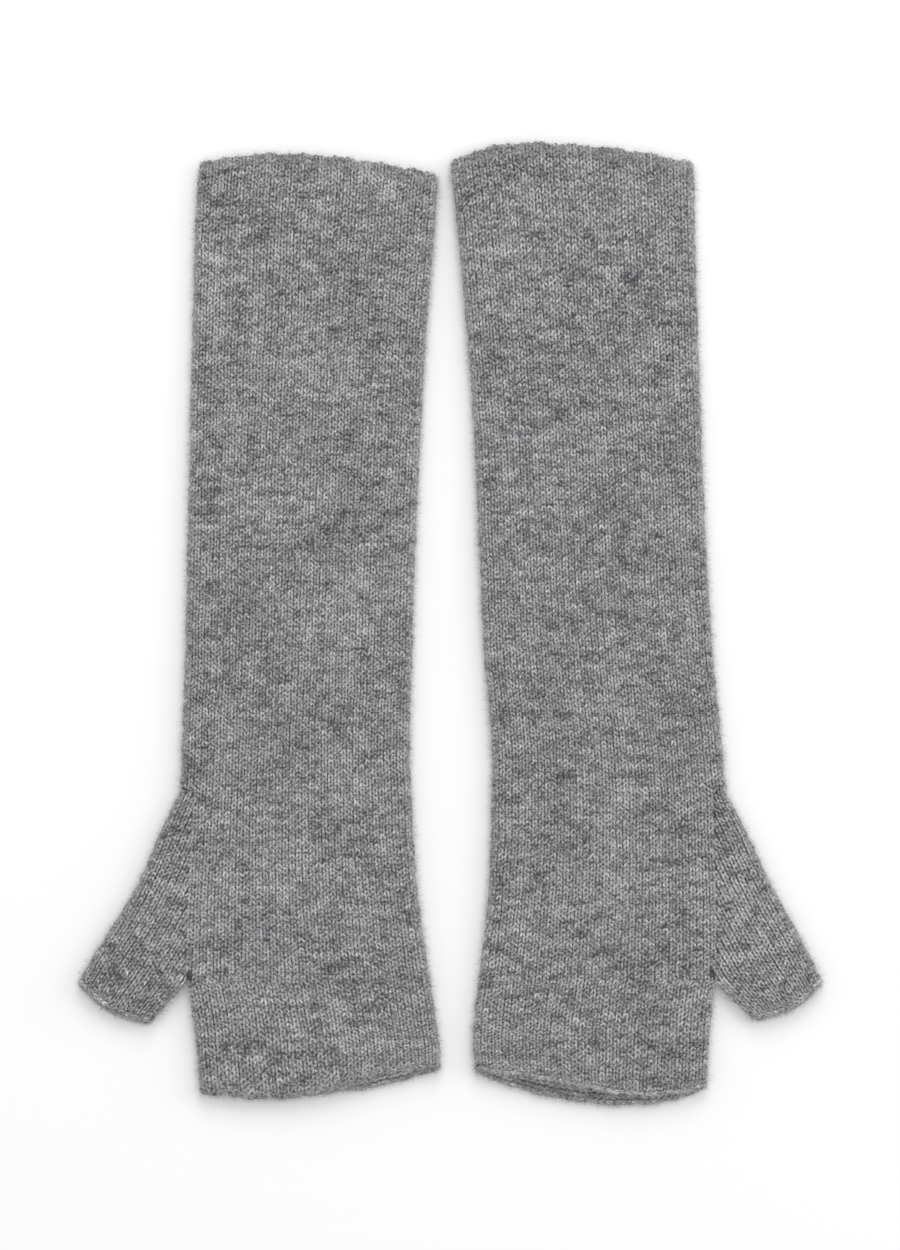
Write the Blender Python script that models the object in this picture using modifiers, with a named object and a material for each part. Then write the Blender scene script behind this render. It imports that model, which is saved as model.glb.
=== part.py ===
"""A pair of long knitted wrist warmers, laid flat side by side on a table.

Sizes are in millimetres until a mesh is made. Heights run along the arm, from the knuckles' edge, below
zero, to the forearm's edge, above zero. Distances across run outwards from the line midway between the two
warmers, so that the same words serve both: each has its thumb on the outer side.

Each warmer is two pieces of cloth. The body is a tube that lies flat, with a slit in its outer fold. The
thumb, a gusset that widens into a short tube, fills that slit.
"""

import math
from typing import NamedTuple

import bmesh
import bpy
import numpy as np
from mathutils import Vector

MM = 0.001

WALL = 1.4  # one layer of the knitted cloth
BETWEEN_LAYERS = 0.6  # air left between the two layers of a tube laid flat
CROWN = 0.3  # how much higher the middle lies than the folds
SEAM_GAP = 0.3  # between the body's slit and the thumb
SEAM_INSET = 5.0  # how far inside the body's outer fold the slit starts
SEAM_AT_CROTCH = 92.9  # the slit's foot, outwards from the line between the warmers
FORK = 0.8  # height of the step where the tube's fold opens into the slit, and closes again

BODY_ACROSS = 10  # steps over one layer, fold to fold
THUMB_ACROSS = 6
ROUND_FOLD = 4  # steps round one fold
ARM_STEPS = 12
GUSSET_STEPS = 8
HAND_STEPS = 6
THUMB_STEPS = 4  # from the crotch to the thumb's mouth

CUFF_BEND = 70.0  # how far down the arm the bow of the forearm's edge can be followed
HAND_BEND = 26.0  # how far up the hand the bow of the knuckles' edge can be followed
THUMB_BEND = 12.0  # how far up the thumb the bow of its mouth can be followed

WOOL_GREY = (0.23, 0.23, 0.24)
WOOL_ROUGHNESS = 0.95


class Width(NamedTuple):
    """Where a body's two folds lie at one height."""

    name: str
    height: float
    inner: float
    outer: float


class EdgePoint(NamedTuple):
    """A share of the way across a mouth, its height there, and how far the lower layer reaches past it."""

    across: float
    height: float
    peek: float


class GussetRow(NamedTuple):
    """A course of the thumb: its height at the seam, and its end at the thumb's outer fold."""

    name: str
    seam_height: float
    outer: float
    outer_height: float


class Mouth(NamedTuple):
    """The thumb's open end: its two corners, the bow between them, and the lower layer's reach."""

    inner: float
    inner_height: float
    outer: float
    outer_height: float
    bow: float
    peek: float


class Warmer(NamedTuple):
    name: str
    side: int  # 1 lies at +X, -1 at -X
    widths: tuple
    cuff: tuple
    hand: tuple
    gusset: tuple
    thumb_inner: float  # the thumb's inner fold at the crotch
    mouth: Mouth
    lift: float  # how far the upper layer stands off the lower one in the hand's mouth


LEFT = Warmer(
    name="left",
    side=-1,
    widths=(
        Width("cuff", 160.0, 4.7, 87.9),
        Width("below_cuff", 136.0, 6.3, 89.4),
        Width("upper_forearm", 105.0, 8.7, 90.1),
        Width("forearm", 70.0, 10.7, 91.1),
        Width("lower_forearm", 30.0, 12.6, 92.0),
        Width("above_wrist", -10.0, 13.8, 92.9),
        Width("wrist", -47.0, 14.6, 94.2),
        Width("thumb_root", -58.0, 14.2, 94.8),
        Width("palm", -90.0, 12.2, 93.4),
        Width("crotch", -126.0, 7.3, 92.0),
        Width("knuckles", -142.0, 5.0, 89.6),
        Width("hand_edge", -162.0, 3.7, 87.8),
    ),
    cuff=(
        EdgePoint(0.0, 157.8, 0.0),
        EdgePoint(0.22, 161.2, 0.0),
        EdgePoint(0.5, 164.1, 0.0),
        EdgePoint(0.75, 164.6, 0.0),
        EdgePoint(1.0, 162.1, 0.0),
    ),
    hand=(
        EdgePoint(0.0, -155.1, 1.2),
        EdgePoint(0.15, -156.0, 3.6),
        EdgePoint(0.3, -159.2, 3.2),
        EdgePoint(0.45, -162.9, 1.0),
        EdgePoint(0.7, -165.7, 0.3),
        EdgePoint(1.0, -164.2, 0.0),
    ),
    gusset=(
        GussetRow("root", -58.6, 94.9, -58.6),
        GussetRow("high", -74.0, 101.1, -71.4),
        GussetRow("middle", -92.0, 107.8, -87.0),
        GussetRow("low", -111.0, 115.6, -101.2),
        GussetRow("crotch", -125.4, 122.2, -111.3),
    ),
    thumb_inner=93.9,
    mouth=Mouth(105.6, -139.6, 130.7, -125.3, bow=2.5, peek=1.0),
    lift=0.3,
)

RIGHT = Warmer(
    name="right",
    side=1,
    widths=(
        Width("cuff", 160.0, -0.1, 84.7),
        Width("below_cuff", 136.0, 2.6, 85.2),
        Width("upper_forearm", 105.0, 5.5, 86.0),
        Width("forearm", 70.0, 8.1, 87.3),
        Width("lower_forearm", 30.0, 9.9, 89.0),
        Width("above_wrist", -10.0, 11.8, 91.5),
        Width("wrist", -47.0, 14.6, 95.2),
        Width("thumb_root", -58.0, 14.5, 96.2),
        Width("palm", -90.0, 13.5, 94.6),
        Width("crotch", -126.0, 9.7, 92.0),
        Width("knuckles", -142.0, 8.0, 90.5),
        Width("hand_edge", -162.0, 8.5, 89.5),
    ),
    cuff=(
        EdgePoint(0.0, 162.4, 0.0),
        EdgePoint(0.1, 166.0, 0.0),
        EdgePoint(0.25, 168.3, 0.0),
        EdgePoint(0.5, 167.8, 0.0),
        EdgePoint(0.75, 165.8, 0.0),
        EdgePoint(1.0, 161.9, 0.0),
    ),
    hand=(
        EdgePoint(0.0, -156.0, 1.8),
        EdgePoint(0.2, -158.0, 5.0),
        EdgePoint(0.45, -161.4, 5.6),
        EdgePoint(0.7, -164.6, 3.4),
        EdgePoint(0.85, -164.2, 2.6),
        EdgePoint(1.0, -162.2, 1.0),
    ),
    gusset=(
        GussetRow("root", -59.4, 96.5, -59.4),
        GussetRow("high", -74.0, 102.9, -71.8),
        GussetRow("middle", -92.0, 109.5, -86.0),
        GussetRow("low", -111.0, 116.3, -99.0),
        GussetRow("crotch", -124.8, 122.0, -109.2),
    ),
    thumb_inner=93.2,
    mouth=Mouth(106.2, -138.4, 130.2, -125.2, bow=2.6, peek=0.8),
    lift=0.8,
)


class Column(NamedTuple):
    """A line of cloth along the tube: its share of the way across, its turn round a fold, and its lift."""

    across: float
    turn: float
    lift: float


def ring_columns(steps):
    """One ring of a flat tube: over the upper layer outwards, round a fold, back below, round the other."""
    bends = [math.pi * k / ROUND_FOLD for k in range(1, ROUND_FOLD)]
    over = [Column(i / steps, 0.0, 1.0) for i in range(steps + 1)]
    outer_fold = [Column(1.0, math.sin(a), (1 + math.cos(a)) / 2) for a in bends]
    under = [Column(c.across, 0.0, 0.0) for c in reversed(over)]
    inner_fold = [Column(0.0, -math.sin(a), (1 - math.cos(a)) / 2) for a in bends]
    return over + outer_fold + under + inner_fold


def outer_fold_quads(steps):
    """The quads of a ring that lie round its outer fold."""
    return range(steps, steps + ROUND_FOLD)


def inner_fold_quads(steps):
    """The quads of a ring that lie round its inner fold."""
    return range(2 * steps + ROUND_FOLD, 2 * (steps + ROUND_FOLD))


def smooth(known, values, wanted):
    """Values at the wanted places on a smooth line through the known ones, which rise."""
    known = np.asarray(known, float)
    values = np.asarray(values, float)
    slopes = np.gradient(values, known)
    left = np.clip(np.searchsorted(known, wanted) - 1, 0, len(known) - 2)
    span = known[left + 1] - known[left]
    t = (wanted - known[left]) / span
    return (
        values[left] * (1 + 2 * t) * (1 - t) ** 2
        + values[left + 1] * t * t * (3 - 2 * t)
        + span * slopes[left] * t * (1 - t) ** 2
        - span * slopes[left + 1] * t * t * (1 - t)
    )


def fade(distance, reach):
    """1 at an edge, easing to 0 at its reach."""
    t = min(max(1 - distance / reach, 0.0), 1.0)
    return t * t * (3 - 2 * t)


def edge_at(points, across):
    """The height of a mouth's edge, and the lower layer's reach past it."""
    known = [p.across for p in points]
    height = smooth(known, [p.height for p in points], across)
    return height, smooth(known, [p.peek for p in points], across)


def width_at(warmer, height):
    """The places of the body's inner and outer fold at a height."""
    known = [-w.height for w in warmer.widths]
    inner = smooth(known, [w.inner for w in warmer.widths], -height)
    return inner, smooth(known, [w.outer for w in warmer.widths], -height)


def seam_at(warmer, height):
    """The slanted line of increases, along which the thumb leaves the body."""
    top = warmer.gusset[0]
    foot = warmer.gusset[-1]
    share = (height - top.seam_height) / (foot.seam_height - top.seam_height)
    return top.outer - SEAM_INSET + share * (SEAM_AT_CROTCH - top.outer + SEAM_INSET)


def cloth_height(across):
    """The top of the two layers, above the table."""
    return 2 * WALL + BETWEEN_LAYERS + CROWN * 4 * across * (1 - across)


def body_rows(warmer):
    """The body's section heights, each with whether the thumb's slit is open there."""
    top = warmer.gusset[0].seam_height
    foot = warmer.gusset[-1].seam_height
    cuff = warmer.widths[0].height
    hand = warmer.widths[-1].height
    arm = [(float(h), False) for h in np.linspace(cuff, top + FORK, ARM_STEPS + 1)]
    slit = [(float(h), True) for h in np.linspace(top, foot, GUSSET_STEPS + 1)]
    palm = [(float(h), False) for h in np.linspace(foot - FORK, hand, HAND_STEPS + 1)]
    return arm + slit + palm


def body_section(warmer, columns, height, slit):
    """One ring of the body, bent near the mouths to follow their edges."""
    fold = cloth_height(0) / 2
    inner, outer = width_at(warmer, height)
    start = inner + fold
    end = seam_at(warmer, height) - SEAM_GAP / 2 if slit else outer - fold
    cuff_share = fade(warmer.widths[0].height - height, CUFF_BEND)
    hand_share = fade(height - warmer.widths[-1].height, HAND_BEND)
    ring = []
    for column in columns:
        cuff_height, _ = edge_at(warmer.cuff, column.across)
        hand_height, peek = edge_at(warmer.hand, column.across)
        bent = height + cuff_share * (cuff_height - warmer.widths[0].height)
        bent += hand_share * (hand_height - warmer.widths[-1].height - peek * (1 - column.lift))
        stand_off = warmer.lift * hand_share * math.sin(math.pi * column.across)
        place = start + column.across * (end - start) + column.turn * fold
        ring.append((place, bent, column.lift * (cloth_height(column.across) + stand_off)))
    return ring


def thumb_rows(warmer):
    """The thumb's sections as pairs of points across, each with whether it joins the body's slit."""
    gusset = warmer.gusset
    mouth = warmer.mouth
    heights = np.linspace(gusset[0].seam_height, gusset[-1].seam_height, GUSSET_STEPS + 1)
    known = [-row.seam_height for row in gusset]
    outers = smooth(known, [row.outer for row in gusset], -heights)
    outer_heights = smooth(known, [row.outer_height for row in gusset], -heights)
    rows = []
    for height, outer, outer_height in zip(heights, outers, outer_heights):
        inner = Vector((seam_at(warmer, height) + SEAM_GAP / 2, height))
        rows.append((inner, Vector((outer, outer_height)), True))
    crotch = Vector((warmer.thumb_inner, gusset[-1].seam_height - FORK))
    inner_end = Vector((mouth.inner, mouth.inner_height))
    outer_end = Vector((mouth.outer, mouth.outer_height))
    above = rows[-1][1]
    far = above + (outer_end - above).normalized() * FORK
    for k in range(THUMB_STEPS + 1):
        share = k / THUMB_STEPS
        rows.append((crotch.lerp(inner_end, share), far.lerp(outer_end, share), False))
    return rows


def thumb_section(warmer, columns, inner, outer, slit):
    """One ring of the thumb, bowed near its mouth."""
    fold = cloth_height(0) / 2
    mouth = warmer.mouth
    across = (outer - inner).normalized()
    along = Vector((across.y, -across.x))
    start = inner if slit else inner + across * fold
    end = outer - across * fold
    to_mouth = Vector((mouth.outer, mouth.outer_height)) - outer
    share = fade(to_mouth.length, THUMB_BEND)
    ring = []
    for column in columns:
        reach = mouth.bow * math.sin(math.pi * column.across) + mouth.peek * (1 - column.lift)
        place = start.lerp(end, column.across) + across * column.turn * fold + along * share * reach
        ring.append((place.x, place.y, column.lift * cloth_height(0)))
    return ring


def wool():
    """Mid-grey melange yarn."""
    material = bpy.data.materials.new("wool")
    material.use_nodes = True
    shader = material.node_tree.nodes["Principled BSDF"]
    shader.inputs["Base Color"].default_value = (*WOOL_GREY, 1.0)
    shader.inputs["Roughness"].default_value = WOOL_ROUGHNESS
    shader.inputs["Metallic"].default_value = 0.0
    return material


def cloth_tube(name, rings, left_out, side, material):
    """A sheet lofted through rings, less the quads left out, given the thickness of the cloth inwards."""
    shape = bmesh.new()
    rows = [[shape.verts.new(Vector((side * x, y, z)) * MM) for x, y, z in ring] for ring in rings]
    for row, (upper, lower) in enumerate(zip(rows, rows[1:])):
        for i, corner in enumerate(upper):
            j = (i + 1) % len(upper)
            if (row, i) not in left_out:
                shape.faces.new((corner, lower[i], lower[j], upper[j]))
    bmesh.ops.delete(shape, geom=[v for v in shape.verts if not v.link_faces], context="VERTS")
    if side < 0:
        bmesh.ops.reverse_faces(shape, faces=shape.faces[:])
    mesh = bpy.data.meshes.new(name)
    shape.to_mesh(mesh)
    shape.free()
    mesh.materials.append(material)
    mesh.shade_smooth()
    piece = bpy.data.objects.new(name, mesh)
    thickness = piece.modifiers.new("cloth", "SOLIDIFY")
    thickness.thickness = WALL * MM
    thickness.offset = -1.0
    thickness.use_even_offset = True
    return piece


def make_body(warmer, material):
    columns = ring_columns(BODY_ACROSS)
    rows = body_rows(warmer)
    rings = [body_section(warmer, columns, height, slit) for height, slit in rows]
    left_out = {
        (row, quad)
        for row, (_, slit) in enumerate(rows[:-1])
        for quad in outer_fold_quads(BODY_ACROSS)
        if slit or rows[row + 1][1]
    }
    return cloth_tube(f"{warmer.name}_body", rings, left_out, warmer.side, material)


def make_thumb(warmer, material):
    columns = ring_columns(THUMB_ACROSS)
    rows = thumb_rows(warmer)
    rings = [thumb_section(warmer, columns, inner, outer, slit) for inner, outer, slit in rows]
    left_out = {
        (row, quad)
        for row, (_, _, slit) in enumerate(rows[:-1])
        for quad in inner_fold_quads(THUMB_ACROSS)
        if slit
    }
    return cloth_tube(f"{warmer.name}_thumb", rings, left_out, warmer.side, material)


def stand_at_origin(pieces, collection):
    """Hangs the pieces on an empty, placed so that the middle of the pair's underside is the origin."""
    points = [v.co for piece in pieces for v in piece.data.vertices]
    low = Vector([min(p[axis] for p in points) for axis in range(3)])
    high = Vector([max(p[axis] for p in points) for axis in range(3)])
    pair = bpy.data.objects.new("pair", None)
    pair.location = (-(low.x + high.x) / 2, -(low.y + high.y) / 2, -low.z)
    collection.objects.link(pair)
    for piece in pieces:
        collection.objects.link(piece)
        piece.parent = pair


def main():
    for old in list(bpy.data.objects):
        bpy.data.objects.remove(old)
    collection = bpy.data.collections.new("wrist_warmers")
    bpy.context.scene.collection.children.link(collection)
    material = wool()
    pieces = []
    for warmer in (LEFT, RIGHT):
        pieces.append(make_body(warmer, material))
        pieces.append(make_thumb(warmer, material))
    stand_at_origin(pieces, collection)


main()
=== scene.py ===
"""The looks of a pair of long wrist warmers in grey melange wool, laid flat side by side.

The cloth is plain knit. Its columns of stitches, the wales, run along the arm, and its rows, the courses, run
round it. A guide is a sheet that follows one stretch of the cloth that shows: for each place in the knit, so
many wales over and so many courses down, it says where that place lies. Geometry Nodes set the stitches out
on a plain grid, and then bend the grid onto its guide.

Sizes are in millimetres until a mesh is made. Heights run along the arm, from the knuckles' edge, below zero,
to the forearm's edge, above zero. Distances across run outwards from the line midway between the two warmers.
"""

import math
from typing import NamedTuple

import bmesh
import bpy
import numpy as np
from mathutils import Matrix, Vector


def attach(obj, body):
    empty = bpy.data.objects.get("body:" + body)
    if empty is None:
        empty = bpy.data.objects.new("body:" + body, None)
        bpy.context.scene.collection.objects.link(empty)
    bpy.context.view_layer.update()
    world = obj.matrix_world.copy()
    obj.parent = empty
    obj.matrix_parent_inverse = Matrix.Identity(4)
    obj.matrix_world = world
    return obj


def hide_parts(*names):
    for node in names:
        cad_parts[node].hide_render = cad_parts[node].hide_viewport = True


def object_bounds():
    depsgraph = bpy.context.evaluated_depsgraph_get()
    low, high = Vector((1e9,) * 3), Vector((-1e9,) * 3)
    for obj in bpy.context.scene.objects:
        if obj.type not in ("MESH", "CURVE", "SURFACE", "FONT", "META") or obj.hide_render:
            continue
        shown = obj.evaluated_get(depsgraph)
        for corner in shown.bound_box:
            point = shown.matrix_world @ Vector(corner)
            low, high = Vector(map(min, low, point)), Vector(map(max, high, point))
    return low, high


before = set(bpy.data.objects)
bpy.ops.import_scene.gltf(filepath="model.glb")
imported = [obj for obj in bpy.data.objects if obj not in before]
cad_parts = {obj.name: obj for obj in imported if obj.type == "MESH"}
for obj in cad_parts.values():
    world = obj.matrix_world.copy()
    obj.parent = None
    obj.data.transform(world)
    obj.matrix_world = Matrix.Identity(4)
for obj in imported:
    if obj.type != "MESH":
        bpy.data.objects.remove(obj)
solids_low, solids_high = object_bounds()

MM = 0.001

# The solids' sizes
WALL = 1.4
BETWEEN_LAYERS = 0.6
CROWN = 0.3
SEAM_GAP = 0.3
SEAM_INSET = 5.0
SEAM_AT_CROTCH = 92.9
FORK = 0.8
CUFF_BEND = 70.0
HAND_BEND = 26.0
THUMB_BEND = 12.0
GUSSET_STEPS = 8
THUMB_STEPS = 4

# The knit
WALES = 36  # on one face of the forearm, fold to fold
COURSES = 196  # from the forearm's edge to the knuckles' edge
WALE = 2.25  # a stitch's width
COURSE = 1.643  # and its height
THUMB_WALES = 13.5  # on one face of the thumb
BODY_LAP = 0.2  # how many wales the body's stitches go on past the line of increases
THUMB_LAP = 0.15  # and the thumb's
BELOW_CROTCH = 1.5  # how many courses below the crotch no stitch goes past that line
RELIEF = 0.35  # how far the ground lies below the solids' surface, for the stitches to fill
GROUND = 1.0  # thickness of the ground
LAST_TURN = math.radians(140)  # how far round a fold the stitches go, before the underside
LIP = 10.0  # how far in from a mouth the lower layer's inner side carries stitches
STRAND_FOOT = -0.12  # a strand's two sides dip this far into the ground
SMALLEST_STITCH = (0.93, 0.95, 0.86)  # its width, height and rise, beside the stitch as it is drawn
LARGEST_STITCH = (1.05, 1.05, 1.14)
TILT = 0.12  # how far a stitch leans at most, in radians
WAVER = 0.5  # how far the wales and courses wander, in stitches
WAVER_FINE = 0.11  # and how quickly, by the stitch
JUT = 0.16  # one stitch stands out up to this much more than another
RIM_SWELL = 0.55  # and a stretch of a fold or an edge swells by up to this
SWELL_FINE = 0.4  # and how quickly that changes, by the stitch
SWELL_FROM = 0.35  # the noise at which the swell starts
SWELL_TO = 0.65  # and at which it is full

# The cloth's form
SWELL = 0.10  # how far the upper layer's face rises and sinks
CORNER = 1.5  # how round the corners of the body's mouths are
THUMB_CORNER = 1.1
MOUTH_REACH = 4.5  # how far in from a mouth its corners and its raggedness reach
RAGGED_CUFF = 0.30  # how far the mouths' edges wander in and out, in two waves
RAGGED_HAND = 0.22
RAGGED_FINE = 91.0  # the waves' angles from one fold to the other, in radians
RAGGED_WIDE = 38.0

# The loose fibres
FACE_FUZZ = 150000.0  # fibres for each square metre of the cloth's faces
RIM_FUZZ = 16000000.0  # and what comes on top of that at its folds and edges
FUZZ_TURN = math.radians(115)  # how far round a fold the fibres lie closely
FUZZ_GROWS = 1.5  # how quickly they set in at a fold, by the radian
FUZZ_STOPS = 4.0  # and how quickly they end
EDGE_FULL = 1.6  # the strength that a rim starts with at an open edge, where 1 and above is full
EDGE_FADES = 1.2  # and over how many courses that falls by 1
FIBRE_SHORTEST = 0.0006  # in metres
FIBRE_LONGEST = 0.0042
FIBRE_THICK = 0.0017  # what the half widths of a fibre's stations are scaled by
FIBRE_LEAN = 1.35  # how far a fibre leans over at most, in radians
COMBED = 1.6  # how far the fibres at an open edge point out past it, beside 1 up out of the cloth
EDGE_STOUT = 0.5  # fibres that point out past an edge are denser, shorter and thicker by this power
FEW_LONG = 2.2  # above 1 it makes long fibres rarer than short ones
LOWEST = 0.00003  # the table keeps the yarn and the loose fibres above this, in metres

# The guides' and the ground's meshes
PAST_EDGE = 2.6  # how far a guide runs on past an edge of the cloth
MAP_SPAN = 256.0  # stitches along one side of a guide's map
GUIDE_ARM = 68  # the rows of a body's guide down to the slit, along it, and below it
GUIDE_SLIT = 26
GUIDE_PALM = 16
LIP_ROWS = 10
THUMB_LIP_ROWS = 4
FINER = 3  # steps between two of the thumb's sections
BODY_ACROSS = 24  # the ground's steps over one layer, fold to fold
THUMB_ACROSS = 12
ROUND_FOLD = 6  # steps round one fold
ARM_STEPS = 44
HAND_STEPS = 12
COVERED_FROM = 0.05  # the lift from which on stitches cover the ground
COVERED_OVER = 0.1  # and how much higher they cover it fully
BACK_YARN = 6.0  # how far the underside's yarn lies from the upper side's, in the melange

# The greys, and how fine the melange is along the yarn, across it, and from piece to piece, by the metre
DARK_GREY = (0.080, 0.078, 0.082, 1.0)
LIGHT_GREY = (0.71, 0.71, 0.71, 1.0)
# Painted light: lighter greys, a painted highlight on the bound-off edges and the lower layers in the mouths
LIT_EDGE_DARK = (0.18, 0.18, 0.184, 1.0)
LIT_EDGE_LIGHT = (0.87, 0.87, 0.88, 1.0)
# Painted light: a still lighter copy, the lower layer's inner side lit up in the upper layer's shade
LIT_LIP_DARK = (0.22, 0.22, 0.225, 1.0)
LIT_LIP_LIGHT = (0.95, 0.95, 0.95, 1.0)
# Painted light: the loose fibres in lighter greys, for the light they catch at the folds and edges
LIT_FUZZ_DARK = (0.32, 0.32, 0.325, 1.0)
LIT_FUZZ_LIGHT = (0.84, 0.84, 0.85, 1.0)
WARM_TINT = (1.02, 1.0, 0.93)
COOL_TINT = (1.0, 1.0, 1.09)
STREAKS = (145.0, 260.0, 200.0)
CLOUDS = (28.0, 34.0, 30.0)
TINTS = (190.0, 260.0, 200.0)
FLECKS = (950.0, 1150.0, 900.0)
ROWS = (0.33, 7.3, 1.0)  # how fast the tone changes from stitch to stitch, course to course, sheet to sheet
ROW_TONE = 0.75  # how much each kind of mixing changes the tone
STREAK_TONE = 0.85
CLOUD_TONE = 0.42
FLECK_TONE = 1.70
STITCH_TONE = 0.30
DARKEST_LIGHTEST = 1.15  # above 1 it makes light yarn rarer than dark yarn
SHEETS_APART = 100.0  # how far the tones of two stretches of knit lie apart, for each metre of yarn between
YARN_APART = 0.17  # metres of yarn between two stretches of knit
PAINTED_GAP_SHADE = 0.20  # painted shade: the ground's darkness where it only shows between stitches
PAINTED_DIP_SHADE = 0.58  # painted shade: a stitch's sides' lightness where they dip, beside 1 on its crown
CROWN_AT = 0.42  # the height of the crown
NAP = (0.00020, 0.0012, 0.00020)  # how far apart the yarn's fibres lie, and how long they show, in metres
NAP_DEPTH = 0.0001
NAP_BUMP = 0.8
NAP_CONTRAST = 2.0
DRAWN_DEPTH = 0.0004  # the depth of the stitches that are only drawn on the ground, in metres
# The drawn stitches' lightness is painted shade, darker where their drawn height is low
DRAWN_PAINTED_SHADE = 0.45  # how light they are at their lowest, and how much lighter at their highest
DRAWN_SLANT = 0.9  # how far their legs slant, in courses
DRAWN_WAVE = 0.18  # and how far the wrong side's rows wave

# The table, the lamps and the camera
PAPER = (0.94, 0.94, 0.95, 1.0)
SKY = 0.75
FRAME_TALL = 437.5  # what the picture's height takes in
FRAME_LEFT = 0.35  # how far the picture's middle lies left of the pair's
LENS = 120.0
SENSOR = 36.0


class Lamp(NamedTuple):
    """A large square lamp: its place and its side in metres, and its watts."""

    name: str
    place: tuple
    size: float
    power: float


LAMPS = (
    Lamp("above", (0.1, 1.6, 1.0), 1.0, 14.5),
    Lamp("left", (-1.9, 0.35, 0.7), 1.1, 5.5),
    Lamp("right", (1.9, 0.35, 0.7), 1.1, 15.0),
)


class Width(NamedTuple):
    """Where a body's two folds lie at one height."""

    name: str
    height: float
    inner: float
    outer: float


class EdgePoint(NamedTuple):
    """A share of the way across a mouth, its height there, and how far the lower layer reaches past it."""

    across: float
    height: float
    peek: float = 0.0


class GussetRow(NamedTuple):
    """A course of the thumb: its height at the seam, and its end at the thumb's outer fold."""

    name: str
    seam_height: float
    outer: float
    outer_height: float


class Mouth(NamedTuple):
    """The thumb's open end: its two corners, the bow between them, and the lower layer's reach."""

    inner: float
    inner_height: float
    outer: float
    outer_height: float
    bow: float
    peek: float


class Warmer(NamedTuple):
    name: str
    side: int  # 1 lies at +X, -1 at -X
    widths: tuple
    cuff: tuple
    hand: tuple
    gusset: tuple
    thumb_inner: float  # the thumb's inner fold at the crotch
    mouth: Mouth
    lift: float  # how far the upper layer stands off the lower one in the hand's mouth

    def levels(self):
        """The heights of the forearm's edge, of the slit's top and foot, and of the knuckles' edge."""
        slit_top, slit_foot = self.gusset[0].seam_height, self.gusset[-1].seam_height
        return self.widths[0].height, slit_top, slit_foot, self.widths[-1].height


LEFT = Warmer(
    name="left",
    side=-1,
    widths=(
        Width("cuff", 160.0, 4.7, 87.9),
        Width("below_cuff", 136.0, 6.3, 89.4),
        Width("upper_forearm", 105.0, 8.7, 90.1),
        Width("forearm", 70.0, 10.7, 91.1),
        Width("lower_forearm", 30.0, 12.6, 92.0),
        Width("above_wrist", -10.0, 13.8, 92.9),
        Width("wrist", -47.0, 14.6, 94.2),
        Width("thumb_root", -58.0, 14.2, 94.8),
        Width("palm", -90.0, 12.2, 93.4),
        Width("crotch", -126.0, 7.3, 92.0),
        Width("knuckles", -142.0, 5.0, 89.6),
        Width("hand_edge", -162.0, 3.7, 87.8),
    ),
    cuff=(
        EdgePoint(0.0, 157.8),
        EdgePoint(0.22, 161.2),
        EdgePoint(0.5, 164.1),
        EdgePoint(0.75, 164.6),
        EdgePoint(1.0, 162.1),
    ),
    hand=(
        EdgePoint(0.0, -155.1, 1.2),
        EdgePoint(0.15, -156.0, 3.6),
        EdgePoint(0.3, -159.2, 3.2),
        EdgePoint(0.45, -162.9, 1.0),
        EdgePoint(0.7, -165.7, 0.3),
        EdgePoint(1.0, -164.2, 0.0),
    ),
    gusset=(
        GussetRow("root", -58.6, 94.9, -58.6),
        GussetRow("high", -74.0, 101.1, -71.4),
        GussetRow("middle", -92.0, 107.8, -87.0),
        GussetRow("low", -111.0, 115.6, -101.2),
        GussetRow("crotch", -125.4, 122.2, -111.3),
    ),
    thumb_inner=93.9,
    mouth=Mouth(105.6, -139.6, 130.7, -125.3, bow=2.5, peek=1.0),
    lift=0.3,
)

RIGHT = Warmer(
    name="right",
    side=1,
    widths=(
        Width("cuff", 160.0, -0.1, 84.7),
        Width("below_cuff", 136.0, 2.6, 85.2),
        Width("upper_forearm", 105.0, 5.5, 86.0),
        Width("forearm", 70.0, 8.1, 87.3),
        Width("lower_forearm", 30.0, 9.9, 89.0),
        Width("above_wrist", -10.0, 11.8, 91.5),
        Width("wrist", -47.0, 14.6, 95.2),
        Width("thumb_root", -58.0, 14.5, 96.2),
        Width("palm", -90.0, 13.5, 94.6),
        Width("crotch", -126.0, 9.7, 92.0),
        Width("knuckles", -142.0, 8.0, 90.5),
        Width("hand_edge", -162.0, 8.5, 89.5),
    ),
    cuff=(
        EdgePoint(0.0, 162.4),
        EdgePoint(0.1, 166.0),
        EdgePoint(0.25, 168.3),
        EdgePoint(0.5, 167.8),
        EdgePoint(0.75, 165.8),
        EdgePoint(1.0, 161.9),
    ),
    hand=(
        EdgePoint(0.0, -156.0, 1.8),
        EdgePoint(0.2, -158.0, 5.0),
        EdgePoint(0.45, -161.4, 5.6),
        EdgePoint(0.7, -164.6, 3.4),
        EdgePoint(0.85, -164.2, 2.6),
        EdgePoint(1.0, -162.2, 1.0),
    ),
    gusset=(
        GussetRow("root", -59.4, 96.5, -59.4),
        GussetRow("high", -74.0, 102.9, -71.8),
        GussetRow("middle", -92.0, 109.5, -86.0),
        GussetRow("low", -111.0, 116.3, -99.0),
        GussetRow("crotch", -124.8, 122.0, -109.2),
    ),
    thumb_inner=93.2,
    mouth=Mouth(106.2, -138.4, 130.2, -125.2, bow=2.6, peek=0.8),
    lift=0.8,
)


class Station(NamedTuple):
    """A place along a strand of yarn within one stitch: right, down the arm, up, and half its width."""

    right: float
    down: float
    up: float
    half: float


# One leg of a stitch, from where it comes up out of the stitch before to where it goes under the next
LEG = (
    Station(0.18, -1.17, 0.00, 0.25),
    Station(0.34, -0.60, 0.34, 0.45),
    Station(0.555, 0.00, 0.49, 0.51),
    Station(0.755, 0.60, 0.36, 0.45),
    Station(0.91, 1.15, 0.00, 0.25),
)
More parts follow.
